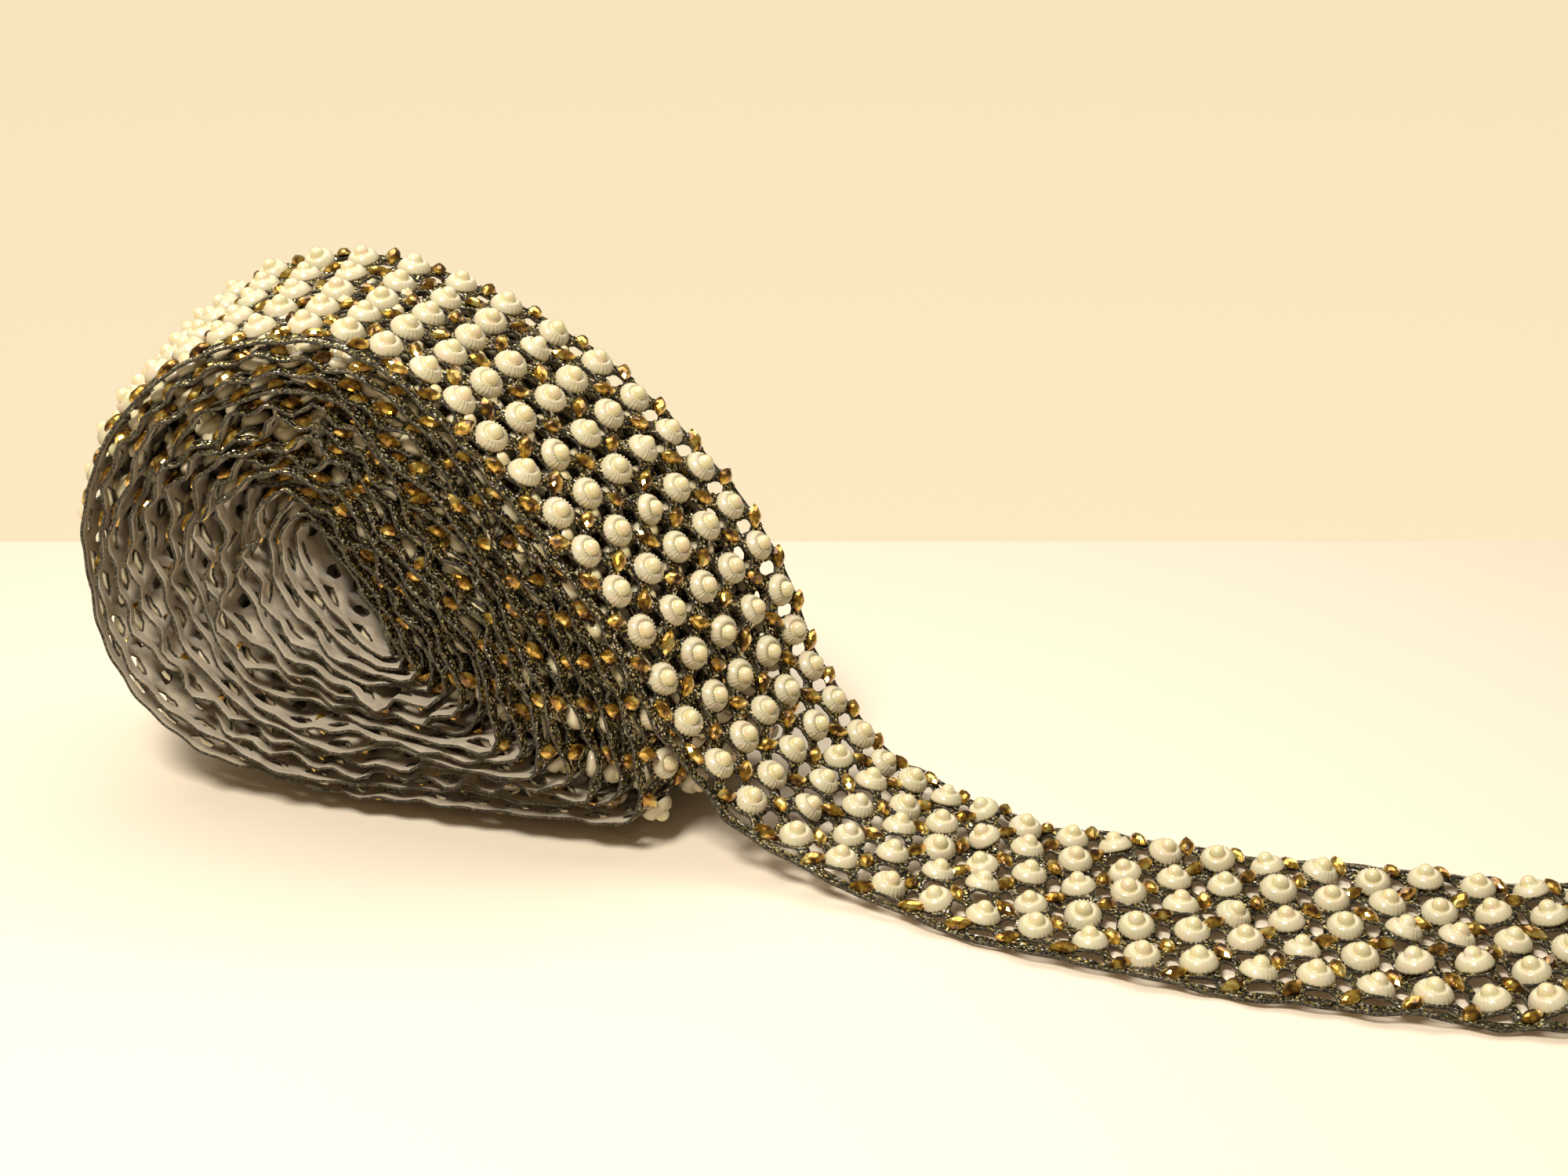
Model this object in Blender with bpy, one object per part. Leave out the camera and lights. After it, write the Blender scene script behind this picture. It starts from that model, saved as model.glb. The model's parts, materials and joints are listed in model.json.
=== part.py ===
"""Beaded border trim: a wide openwork band wound into a loose, pear-shaped roll, with its loose end on the table.

Metres, +Z up. +X runs along the loose end away from the roll, +Y runs across the band from the near
edge to the far edge. The origin is on the table, under the middle of the whole thing.
"""
import math
from collections import namedtuple

import bpy
import bmesh
from mathutils import Vector

MM = 0.001

# The band and its repeat
PEARL_PITCH = 13.5 * MM          # from pearl to pearl, along the band and across it
PEARL_ROWS = 5                   # rows of pearls across the band
PEARL_HEIGHT = 5.0 * MM          # how far the pearls stand off the cloth
EDGE_TAPE = 3.6 * MM             # plain glitter tape along each edge
CLOTH_THICKNESS = 1.6 * MM       # glitter cloth on its felt backing
STEPS_A_STATION = 20             # for measuring the length between two stations
LOOK_AHEAD = 0.05                # in stations, for the direction that the band runs in
GAP_HALF = 4.3 * MM              # half the size of a cut gap, corner to corner
BAND_WIDTH = PEARL_ROWS * PEARL_PITCH + 2 * EDGE_TAPE

# The roll
NEAR_END = 17.0 * MM             # the plane of the roll's near edge
FAR_END = NEAR_END + BAND_WIDTH  # and of its far edge
ROLL_CENTRE = (-297.0 * MM, 70.0 * MM)   # x and z of the innermost turn
PROFILE_STEPS = 64               # points round the roll
MAIN_TURNS = 4                   # wound ridges on the end faces, each standing for three turns or so
RINGS_PER_TURN = 4
RIDGE_DEPTH = 4.0 * MM
RIM_FADE = 2.5                   # how fast the ridges sink towards the rim of an end face
SHIFT_TO_ORIGIN = Vector((174.2 * MM, -38.3 * MM, 0.0))

# Cross sections of the wound form, round from the lower right corner over the top, in millimetres.
# Near is the near edge of the outer turn, far is its far edge.
Section = namedtuple("Section", "place near_x near_z far_x far_z")
ROLL_SECTIONS = [
    Section("corner", -212, 8, -187, 9),
    Section("low flank", -212, 32, -185, 28),
    Section("flank", -221, 57, -189, 50),
    Section("middle flank", -233, 77, -200, 73),
    Section("high flank", -252, 101, -221, 99),
    Section("shoulder", -273, 124, -248, 122),
    Section("right of top", -295, 138, -281, 139),
    Section("top", -322, 138, -318, 149),
    Section("left of top", -350, 127, -356, 144),
    Section("upper left", -373, 106, -388, 119),
    Section("left", -384, 76, -399, 85),
    Section("lower left", -380, 40, -394, 45),
    Section("left foot", -357, 14, -368, 15),
    Section("sole left", -318, 4.4, -322, 4.4),
    Section("sole", -277, 4.4, -272, 4.4),
    Section("sole right", -238, 4.4, -226, 4.4),
]

# How far the pearls stand off the outer turn, across the band from its near edge to its far edge.
Shoulder = namedtuple("Shoulder", "across stand_off")
ROLL_SHOULDERS = [
    Shoulder(0.0, 0.5),
    Shoulder(0.08, 4.2),
    Shoulder(0.3, PEARL_HEIGHT / MM),
    Shoulder(0.7, PEARL_HEIGHT / MM),
    Shoulder(0.92, 4.2),
    Shoulder(1.0, 0.5),
]

# The loose end, from the roll to the cut end, in millimetres: its near edge and its far edge.
Station = namedtuple("Station", "near_x near_y near_z far_x far_y far_z")
LOOSE_STATIONS = [
    Station(-201, 15, 25, -170, 87, 27),
    Station(-190, 12, 17, -165, 84, 15),
    Station(-172, 8, 8, -156, 79, 7),
    Station(-148, 2, 2, -140, 71, 3),
    Station(-118, -7, 0, -113, 62, 0),
    Station(-84, -13, 0, -82, 59, 0),
    Station(-48, -15, 0, -47, 59, 0),
    Station(-12, -14, 0, -12, 60, 0),
    Station(24, -10, 0, 24, 63, 0),
    Station(54, -5, 0, 52, 68, 0),
]

GLITTER_COLOUR = (0.10, 0.08, 0.045, 1.0)


def clear_scene():
    for thing in list(bpy.data.objects):
        bpy.data.objects.remove(thing)


def glitter_cloth():
    material = bpy.data.materials.new("glitter_cloth")
    material.use_nodes = True
    shader = material.node_tree.nodes["Principled BSDF"]
    shader.inputs["Base Color"].default_value = GLITTER_COLOUR
    shader.inputs["Roughness"].default_value = 0.45
    shader.inputs["Metallic"].default_value = 0.35
    return material


def smooth_between(before, start, end, after, share):
    """A Catmull-Rom curve from start to end; works on numbers and on vectors."""
    return 0.5 * (2 * start + (end - before) * share
                  + (2 * before - 5 * start + 4 * end - after) * share ** 2
                  + (3 * start - before - 3 * end + after) * share ** 3)


def round_point(points, turn_share):
    """The point at a share of the way round a closed smooth curve through the points."""
    count = len(points)
    place = (turn_share % 1.0) * count
    index = int(place)
    corners = [points[(index + step) % count] for step in (-1, 0, 1, 2)]
    return smooth_between(*corners, place - index)


def along_point(points, place):
    """The point at a place, counted in stations, on an open smooth curve through the points."""
    last = len(points) - 1
    index = max(0, min(last - 1, int(place)))
    corners = [points[max(0, min(last, index + step))] for step in (-1, 0, 1, 2)]
    return smooth_between(*corners, place - index)


def add_object(name, mesh_builder, material):
    mesh = bpy.data.meshes.new(name)
    bmesh.ops.recalc_face_normals(mesh_builder, faces=mesh_builder.faces)
    mesh_builder.to_mesh(mesh)
    mesh_builder.free()
    mesh.materials.append(material)
    thing = bpy.data.objects.new(name, mesh)
    thing.location = SHIFT_TO_ORIGIN
    bpy.context.scene.collection.objects.link(thing)
    return thing


def outer_point(turn_share, across, stand_off):
    """A point on the outer turn: round the roll, across the band, and standing off the cloth."""
    near = [Vector((row.near_x, NEAR_END / MM, row.near_z)) * MM for row in ROLL_SECTIONS]
    far = [Vector((row.far_x, FAR_END / MM, row.far_z)) * MM for row in ROLL_SECTIONS]
    cloth = round_point(near, turn_share).lerp(round_point(far, turn_share), across)
    outward = Vector((cloth.x - ROLL_CENTRE[0], 0.0, cloth.z - ROLL_CENTRE[1])).normalized()
    point = cloth + outward * stand_off
    point.z = max(point.z, 0.0)
    return point


def end_ring(across, turns_in, side):
    """One ring of an end face, between its centre and its rim, raised by the ridge of the wound band."""
    reach = turns_in / MAIN_TURNS
    ring = []
    for step in range(PROFILE_STEPS):
        turn_share = step / PROFILE_STEPS
        rim = outer_point(turn_share, across, 0.0)
        point = Vector((ROLL_CENTRE[0], rim.y, ROLL_CENTRE[1])).lerp(rim, reach)
        ridge = 0.5 + 0.5 * math.cos(2 * math.pi * (turns_in + turn_share))
        rim_fade = min(1.0, RIM_FADE * (1.0 - reach))
        point.y += side * RIDGE_DEPTH * ridge * rim_fade
        ring.append(point)
    return ring


def wound_roll(material):
    """The wound form: its outer turn with rounded shoulders, and its two end faces with the main turns."""
    reaches = [(index + 1) / RINGS_PER_TURN for index in range(MAIN_TURNS * RINGS_PER_TURN - 1)]
    rings = [end_ring(0.0, turns_in, 1.0) for turns_in in reaches]
    for row in ROLL_SHOULDERS:
        rings.append([outer_point(step / PROFILE_STEPS, row.across, row.stand_off * MM)
                      for step in range(PROFILE_STEPS)])
    rings += [end_ring(1.0, turns_in, -1.0) for turns_in in reversed(reaches)]

    builder = bmesh.new()
    vertex_rings = [[builder.verts.new(point) for point in ring] for ring in rings]
    for inner, outer in zip(vertex_rings, vertex_rings[1:]):
        for step in range(PROFILE_STEPS):
            after = (step + 1) % PROFILE_STEPS
            builder.faces.new((inner[step], inner[after], outer[after], outer[step]))
    for ring in (vertex_rings[0], vertex_rings[-1]):
        middle = builder.verts.new(sum((vert.co for vert in ring), Vector()) / PROFILE_STEPS)
        for step in range(PROFILE_STEPS):
            builder.faces.new((ring[step], ring[(step + 1) % PROFILE_STEPS], middle))
    roll = add_object("wound_roll", builder, material)
    roll.data.shade_smooth()


def loose_length():
    """Both edges of the loose end, and a table of station places against length along its middle."""
    near = [Vector((row.near_x, row.near_y, row.near_z)) * MM for row in LOOSE_STATIONS]
    far = [Vector((row.far_x, row.far_y, row.far_z)) * MM for row in LOOSE_STATIONS]
    steps = STEPS_A_STATION * (len(LOOSE_STATIONS) - 1)
    places, lengths, before = [], [], None
    for step in range(steps + 1):
        place = step * (len(LOOSE_STATIONS) - 1) / steps
        middle = (along_point(near, place) + along_point(far, place)) / 2
        lengths.append(0.0 if before is None else lengths[-1] + (middle - before).length)
        places.append(place)
        before = middle
    return near, far, places, lengths


def place_at(places, lengths, wanted):
    """The place, counted in stations, at a length along the loose end."""
    for index in range(1, len(lengths)):
        if lengths[index] >= wanted:
            span = lengths[index] - lengths[index - 1]
            share = (wanted - lengths[index - 1]) / span
            return places[index - 1] + share * (places[index] - places[index - 1])
    return places[-1]


def diamond(half):
    """Eight points round a diamond: its corners and the middles of its sides."""
    side = half / 2
    return [(-half, 0.0), (-side, -side), (0.0, -half), (side, -side),
            (half, 0.0), (side, side), (0.0, half), (-side, side)]


def flat_pattern(cells):
    """The loose end laid flat: faces, as lists of points (along, across), with the gaps left open."""
    pitch = PEARL_PITCH
    half = pitch / 2
    faces = []

    def ring_tile(centre_u, centre_v, outline, gap):
        for index in range(len(outline)):
            after = (index + 1) % len(outline)
            corners = (outline[index], outline[after], gap[after], gap[index])
            faces.append([(centre_u + u, centre_v + v) for u, v in corners])

    whole = diamond(half)
    gap = diamond(GAP_HALF)
    first_row = EDGE_TAPE + half
    for cell in range(cells):
        for row in range(PEARL_ROWS):
            ring_tile((cell + 0.5) * pitch, first_row + row * pitch, whole, gap)
        for row in range(PEARL_ROWS - 1):
            if cell > 0:
                ring_tile(cell * pitch, first_row + (row + 0.5) * pitch, whole, gap)
    return faces


def edge_faces(cells):
    """Plain pieces that finish the flat pattern: the two edge tapes and the half tiles along all sides."""
    pitch = PEARL_PITCH
    half = pitch / 2
    first_row = EDGE_TAPE + half
    length = cells * pitch
    faces = []
    for side, inner, outer in ((-1, EDGE_TAPE, 0.0), (1, BAND_WIDTH - EDGE_TAPE, BAND_WIDTH)):
        marks = [0.0] + [(cell + 0.5) * pitch for cell in range(cells)] + [length]
        for cell in range(cells + 1):
            low, high = marks[cell], marks[cell + 1]
            faces.append([(low, inner), (high, inner), (high, outer), (low, outer)])
            peak = (cell * pitch, inner - side * half)
            start = [(low, inner)]
            if cell > 0:
                start.append((cell * pitch - half / 2, inner - side * half / 2))
            start.append(peak)
            if cell < cells:
                start.append((cell * pitch + half / 2, inner - side * half / 2))
            start.append((high, inner))
            faces.append(start)
    for cell, direction in ((0, 1), (cells, -1)):
        along = cell * pitch
        for row in range(PEARL_ROWS - 1):
            low, high = first_row + row * pitch, first_row + (row + 1) * pitch
            faces.append([(along, low), (along + direction * half / 2, low + half / 2),
                          (along + direction * half, low + half),
                          (along + direction * half / 2, high - half / 2), (along, high)])
    return faces


def loose_end(material):
    """The loose end: a thin openwork sheet from the roll's flank down to the table and along it."""
    near, far, places, lengths = loose_length()
    cells = int(lengths[-1] / PEARL_PITCH)
    stretch = lengths[-1] / (cells * PEARL_PITCH)

    def on_band(along, across):
        """The point of the sheet's underside, and the direction that is up from it."""
        place = place_at(places, lengths, along * stretch)
        share = across / BAND_WIDTH
        point = along_point(near, place).lerp(along_point(far, place), share)
        before, after = max(0.0, place - LOOK_AHEAD), min(places[-1], place + LOOK_AHEAD)
        forward = (along_point(near, after).lerp(along_point(far, after), share)
                   - along_point(near, before).lerp(along_point(far, before), share))
        side = along_point(far, place) - along_point(near, place)
        up = forward.cross(side).normalized()
        return point, up

    builder = bmesh.new()
    corners = {}

    def corner(along, across):
        key = (round(along / MM, 3), round(across / MM, 3))
        if key not in corners:
            point, up = on_band(along, across)
            point.z = max(point.z, 0.0)
            corners[key] = (builder.verts.new(point), builder.verts.new(point + up * CLOTH_THICKNESS))
        return corners[key]

    uses = {}
    for face in flat_pattern(cells) + edge_faces(cells):
        pairs = [corner(*point) for point in face]
        area = sum(face[i - 1][0] * face[i][1] - face[i][0] * face[i - 1][1] for i in range(len(face)))
        if area < 0:
            pairs.reverse()
        builder.faces.new([pair[1] for pair in pairs])
        builder.faces.new([pair[0] for pair in reversed(pairs)])
        for index in range(len(pairs)):
            start, end = pairs[index - 1], pairs[index]
            uses.setdefault(frozenset((start[0], end[0])), []).append((start, end))
    for sides in uses.values():
        if len(sides) == 1:
            start, end = sides[0]
            builder.faces.new((start[0], end[0], end[1], start[1]))
    add_object("loose_end", builder, material)


def build():
    clear_scene()
    material = glitter_cloth()
    wound_roll(material)
    loose_end(material)


build()
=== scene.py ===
"""Looks of the beaded border trim: openwork glitter cloth, domed pearls and amber stones on the wound band.

The band is one ruled strip. Its distance is measured from the cut end of the loose part back into the roll,
and every tile of cloth, pearl and stone is laid out flat on it first and then bent onto the strip.
"""
import json
import math
from collections import namedtuple

import bpy
import numpy as np
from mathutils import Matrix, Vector

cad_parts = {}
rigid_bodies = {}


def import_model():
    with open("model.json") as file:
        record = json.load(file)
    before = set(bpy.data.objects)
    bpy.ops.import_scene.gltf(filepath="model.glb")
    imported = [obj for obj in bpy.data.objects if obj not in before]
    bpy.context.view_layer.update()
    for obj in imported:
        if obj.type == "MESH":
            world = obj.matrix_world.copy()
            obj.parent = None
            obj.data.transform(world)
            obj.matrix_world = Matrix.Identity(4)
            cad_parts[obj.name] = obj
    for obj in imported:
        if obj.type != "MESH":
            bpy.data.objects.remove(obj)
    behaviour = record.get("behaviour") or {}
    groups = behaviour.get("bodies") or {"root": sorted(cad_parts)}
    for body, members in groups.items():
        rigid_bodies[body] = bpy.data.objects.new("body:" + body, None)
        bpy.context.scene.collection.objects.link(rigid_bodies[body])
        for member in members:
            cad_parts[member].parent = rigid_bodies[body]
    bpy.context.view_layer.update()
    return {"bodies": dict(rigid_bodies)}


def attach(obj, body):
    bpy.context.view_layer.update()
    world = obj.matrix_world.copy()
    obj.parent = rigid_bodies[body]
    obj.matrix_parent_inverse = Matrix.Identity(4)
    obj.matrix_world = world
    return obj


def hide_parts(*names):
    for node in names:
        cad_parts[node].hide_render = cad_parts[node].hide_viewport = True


MM = 0.001
WIDTH_PX = 2000

# The band's repeat, in millimetres
PITCH = 13.5
PEARL_ROWS = 5
EDGE_TAPE = 3.6
TAPE_CUT = 1.1            # how far the gaps along an edge reach into its tape
TAPE_CREASE = 0.7         # where a row of points runs along a tape, as a share of its width
TAPE_DROPS = 3.2          # how far the far edge tape turns down behind the last row, and how far it draws in
TAPE_NARROWS = 1.8
TABLE_FLATTENS = 0.7      # share of that which is missing on the loose end
BAND_WIDTH = PEARL_ROWS * PITCH + 2 * EDGE_TAPE
ROW_SLANT = 0.25          # share of a pitch by which each row falls behind the row nearer the viewer
CLOTH_THICKNESS = 0.9
DISC_RADIUS = 5.1         # glitter cloth round a pearl
STONE_PATCH = (3.0, 3.5)  # half width and half length of the cloth round a stone
NECK_HALF = 1.4           # half width of the cloth between pearl and stone
EDGE_GAP_MIDDLE = 0.4     # from an edge tape to the middle of a half gap
RIM_MOST = 0.9            # share of the way to its tile's outline that a half gap may reach
RING_SPREAD = 0.8         # under 1, the rings of a tile lie closer together towards the gap
POINTS_A_MM = 50          # flat points nearer to each other than this are one

# The roll, in millimetres, in the frame of the sections; PLACE moves it into the model's frame
NEAR_END = 17.0
TURNS = 14.5
TIGHTENING = 1.25         # above 1, turns lie closer together towards the core
LEAVES_AT = 1.35 / 16     # share of the way round at which the loose end leaves the outer turn
ROLL_MIDDLE = np.array([-300.0, 70.0])
SOLE_HEIGHT = 5.2         # lowest the outer turn comes to the table, which leaves room for its pearls
OUTER_TURN_LENGTH = 470.0
OUTER_TURNS = 1.2         # turns that get the finer cloth and pearls
PLACE = np.array([174.2, -38.3, 0.0])
SAMPLE_STEP = 1.5
SAMPLES_A_TURN = 260
SAMPLES_A_STATION = 40
CUT_MARGIN = 3.0          # from the cut end to the first full repeat
CORNER_REACH = 26.0       # how far the joint between loose end and outer turn is eased, and how often
CORNER_ROUNDS = 40
TABLE_FADE = 60.0         # length over which the band comes off the table
TABLE_SKIN = 0.0002       # metres that the cloth keeps above the table

Section = namedtuple("Section", "place near_x near_z far_x far_z core_x core_z")
ROLL_SECTIONS = [
    Section("corner", -212, 9, -187, 10, -289, 53),
    Section("low flank", -212, 32, -185, 28, -290, 57),
    Section("flank", -221, 57, -189, 50, -293, 63),
    Section("middle flank", -233, 77, -200, 73, -297, 69),
    Section("high flank", -252, 101, -221, 99, -301, 75),
    Section("shoulder", -273, 124, -248, 122, -304, 80),
    Section("right of top", -295, 138, -281, 139, -306, 84),
    Section("top", -322, 138, -318, 149, -308, 86),
    Section("left of top", -350, 127, -356, 144, -311, 85),
    Section("upper left", -373, 106, -388, 119, -311, 81),
    Section("left", -384, 76, -399, 85, -309, 76),
    Section("lower left", -380, 40, -394, 45, -306, 70),
    Section("left foot", -357, 15, -368, 16, -302, 64),
    Section("sole left", -318, 5.6, -322, 5.6, -298, 58),
    Section("sole", -277, 5.6, -272, 5.6, -294, 54),
    Section("sole right", -238, 5.6, -226, 5.6, -291, 52),
]

# The loose end from the cut end back to the roll, in millimetres: the felt side of both edges
Station = namedtuple("Station", "near_x near_y near_z far_x far_y far_z")
LOOSE_STATIONS = [
    Station(54, -5, 1.2, 52, 68, 1.2),
    Station(24, -10, 1.0, 24, 63, 1.0),
    Station(-12, -14, 0.6, -12, 60, 0.8),
    Station(-48, -15, 0.4, -47, 59, 0.6),
    Station(-84, -13, 0.6, -82, 59, 0.6),
    Station(-118, -7, 0.8, -113, 62, 1.0),
    Station(-148, 2, 2, -140, 71, 3),
    Station(-172, 8, 7, -156, 79, 7),
    Station(-192, 13, 16, -167, 85, 14),
]

# Uneven winding: waves round the roll that all turns share; size in millimetres, drift in radians a turn
Wave = namedtuple("Wave", "count size drift")
WINDING_WAVES = [
    Wave(5, 1.2, 0.7),
    Wave(8, 1.0, 1.9),
    Wave(13, 0.7, 3.1),
]
SIDE_STARTS = {"near": 0.0, "far": 2.1}
LOOSE_AFTER = 2.5         # turns over which the winding goes from its least looseness to its full one
LEAST_LOOSE = 0.12
CORE_LOOSENESS = 5.0      # how soon it tightens again near the core, and the least it keeps there
CORE_LEAST = 0.2

# How far the edges stand out, as waves along the band; length and size in millimetres
EdgeWave = namedtuple("EdgeWave", "length size start")
EDGE_WAVES = [
    EdgeWave(331.0, 1.6, 0.4),
    EdgeWave(157.0, 1.3, 1.7),
    EdgeWave(83.0, 0.9, 2.9),
    EdgeWave(37.0, 0.5, 4.1),
]
PROUD_MOST = 7.0          # turns halfway in stand this far proud of the outer turn
PROUD_CURVE = 0.8
FAR_PROUD = 0.6           # share of that on the far face

# Each turn swells over the pearls of the turn below it, in some places more than in others
BUMP_SIZE = 0.9
Sway = namedtuple("Sway", "rate size start")
BUMP_SWAYS = [Sway(0.021, 0.8, 0.0), Sway(0.0113, 0.5, 1.0)]

# The edge tapes go in and out with every pearl and wander a little, in millimetres
TAPE_SCALLOP = 0.5
TAPE_WANDER = Sway(0.23, 0.4, 0.0)

# The loose cloth is a little off the table all over, in millimetres
Ripple = namedtuple("Ripple", "along across start size")
RIPPLES = [
    Ripple(0.21, 0.11, 0.0, 0.5),
    Ripple(0.093, -0.17, 1.0, 0.6),
    Ripple(0.47, 0.31, 2.0, 0.25),
]
SWELL_HEIGHT = 1.2
SWELL_RIPPLE = 1.1
SWELL_LEAST = 0.2

# How pearls and stones are set: distances in millimetres, leans as slopes, turns in radians
SETTING_ERROR = 0.3
ROLL_LEAN = 0.12          # typical slope of a pearl on the roll, and what the loose end adds to it
TABLE_LEAN = 0.09
LEAN_MOST = 1.8           # no pearl leans more than this many times the typical slope
PEARL_TILT, PEARL_SPIN = 0.04, 0.5
STONE_TILT, STONE_SPIN = 0.16, 0.28
STONE_TURNS = (-0.75, 0.6)
EDGE_STONE_INSET = 1.2
SIZE_SPREAD = 0.02

# Half profile of a domed pearl in a fluted collar, in millimetres; flute and lift are the flutes' depths
Ring = namedtuple("Ring", "radius height flute lift")
PEARL_RINGS = [
    Ring(4.45, -0.1, 0.12, 0.0),
    Ring(4.50, 0.6, 0.20, 0.0),
    Ring(4.10, 1.6, 0.32, 0.0),
    Ring(3.60, 2.3, 0.30, 0.08),
    Ring(3.10, 2.75, 0.12, 0.36),
    Ring(2.60, 2.70, 0.0, 0.26),
    Ring(2.20, 2.45, 0.0, 0.0),
    Ring(2.15, 3.3, 0.0, 0.0),
    Ring(1.75, 4.3, 0.0, 0.0),
    Ring(0.95, 4.95, 0.0, 0.0),
]
PEARL_TOP = 5.15
COLLAR_INSIDE = 2.3       # rings wider than this are the collar
FINE_SEGMENTS = 44
PLAIN_SEGMENTS = 12

# A boat-shaped cut stone, in millimetres: a quarter of its girdle, and the size and height of its levels
STONE_QUARTER = [(0.0, 3.7), (0.95, 2.75), (1.7, 1.5), (2.1, 0.0)]
STONE_LEVELS = [(1.0, -0.1), (1.03, 0.5), (0.78, 1.35), (0.42, 1.9)]

CAMERA_PLACE = (-57.2, -415.8, 251.4)
CAMERA_YAW = 15.35
CAMERA_PITCH = 20.63
CAMERA_FOCUS_PX = 2400
TABLE_FRONT, TABLE_BACK, TABLE_SIDE = 0.02, 0.722, 0.9   # metres from under the camera
BACKDROP_LOW = (1.0, 0.83, 0.55)
BACKDROP_HIGH = (0.94, 0.77, 0.51)
ROOM_COLOUR = (0.15, 0.132, 0.105)
KEY_POWER = 10.5
OVERHEAD_POWER = 9.0
COLLAR_TONES = [(0.68, 0.56, 0.41), (0.66, 0.58, 0.38), (0.63, 0.58, 0.39), (0.72, 0.61, 0.49)]
DOME_TONES = [(0.72, 0.56, 0.38), (0.70, 0.59, 0.33), (0.66, 0.60, 0.35), (0.76, 0.64, 0.49)]
TABLE_COLOUR = (0.86, 0.755, 0.625)
TABLE_SINKS = 0.0003      # metres below the part's own zero, so that the two never share a plane
LAMP_COLOUR = (1.0, 0.95, 0.84)
SEED = 7


def smooth_between(before, start, end, after, share):
    """A Catmull-Rom curve from start to end."""
    return 0.5 * (2 * start + (end - before) * share
                  + (2 * before - 5 * start + 4 * end - after) * share ** 2
                  + (3 * start - before - 3 * end + after) * share ** 3)


def round_curve(values, shares):
    """Closed smooth curve through the values, read at shares of the way round."""
    count = len(values)
    place = (shares % 1.0) * count
    index = np.floor(place).astype(int)
    corners = [values[(index + step) % count] for step in (-1, 0, 1, 2)]
    return smooth_between(*corners, (place - index)[:, None])


def open_curve(values, places):
    """Open smooth curve through the values, read at places counted in stations."""
    last = len(values) - 1
    index = np.clip(np.floor(places).astype(int), 0, last - 1)
    corners = [values[np.clip(index + step, 0, last)] for step in (-1, 0, 1, 2)]
    return smooth_between(*corners, (places - index)[:, None])


def read_line(points, marks, places):
    """Points of a line at places, where the marks say how far along it its own points are."""
    return np.column_stack([np.interp(places, marks, points[:, axis]) for axis in range(3)])


def run_along(points):
    """How far along the line through the points each of them is."""
    return np.concatenate([[0.0], np.cumsum(np.linalg.norm(np.diff(points, axis=0), axis=1))])


def section_curves(side):
    """The fitted outline of one face of the roll, and the slit that its core closes to."""
    outer, core = [], []
    for row in ROLL_SECTIONS:
        outer.append((row.near_x, row.near_z) if side == "near" else (row.far_x, row.far_z))
        core.append((row.core_x, row.core_z))
    return np.array(outer, float), np.array(core, float)


def uneven_winding(back, shares, side):
    """Waves that all turns share, in millimetres outward."""
    stray = np.zeros_like(back)
    for wave in WINDING_WAVES:
        angle = 2 * math.pi * wave.count * shares + wave.drift * back
        stray += wave.size * np.sin(angle + SIDE_STARTS[side] + wave.count)
    return stray


def pearl_bumps(run):
    """How far a turn swells over the pearls below it, in millimetres outward."""
    size = np.ones_like(run)
    for sway in BUMP_SWAYS:
        size += sway.size * np.sin(sway.rate * run + sway.start)
    return BUMP_SIZE * size * np.sin(2 * math.pi * run / PITCH)


def edge_stands_out(back, run, looseness):
    """How far an edge stands out from the face of the outer turn, in millimetres."""
    proud = PROUD_MOST * np.maximum(np.sin(math.pi * back / TURNS), 0.0) ** PROUD_CURVE
    for wave in EDGE_WAVES:
        proud += wave.size * np.sin(2 * math.pi * run / wave.length + wave.start) * looseness
    return proud


def winding(side):
    """One edge of the wound band, from where it leaves the roll back to the core."""
    outer, core = section_curves(side)
    back = np.linspace(0.0, TURNS, int(TURNS * SAMPLES_A_TURN))
    shares = LEAVES_AT + back
    reach = (1.0 - back / TURNS) ** TIGHTENING
    flat = round_curve(core, shares) * (1 - reach[:, None]) + round_curve(outer, shares) * reach[:, None]
    middle = flat - ROLL_MIDDLE
    outward = middle / np.linalg.norm(middle, axis=1)[:, None]
    looseness = np.clip(back / LOOSE_AFTER, LEAST_LOOSE, 1.0)
    looseness *= np.clip(CORE_LOOSENESS * reach, CORE_LEAST, 1.0)
    flat += outward * (uneven_winding(back, shares, side) * looseness)[:, None]
    run = run_along(flat)
    flat += outward * (pearl_bumps(run) * looseness)[:, None]
    proud = edge_stands_out(back, run, looseness)
    if side == "near":
        across = NEAR_END - proud
    else:
        across = NEAR_END + BAND_WIDTH - FAR_PROUD * proud
    return np.column_stack([flat[:, 0], across, np.maximum(flat[:, 1], SOLE_HEIGHT * reach)])


def loose_part(side):
    """One edge of the loose end, from the cut end to the roll."""
    rows = LOOSE_STATIONS
    if side == "near":
        points = [(row.near_x, row.near_y, row.near_z) for row in rows]
    else:
        points = [(row.far_x, row.far_y, row.far_z) for row in rows]
    places = np.linspace(0, len(rows) - 1, SAMPLES_A_STATION * (len(rows) - 1))
    return open_curve(np.array(points, float), places)


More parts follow.
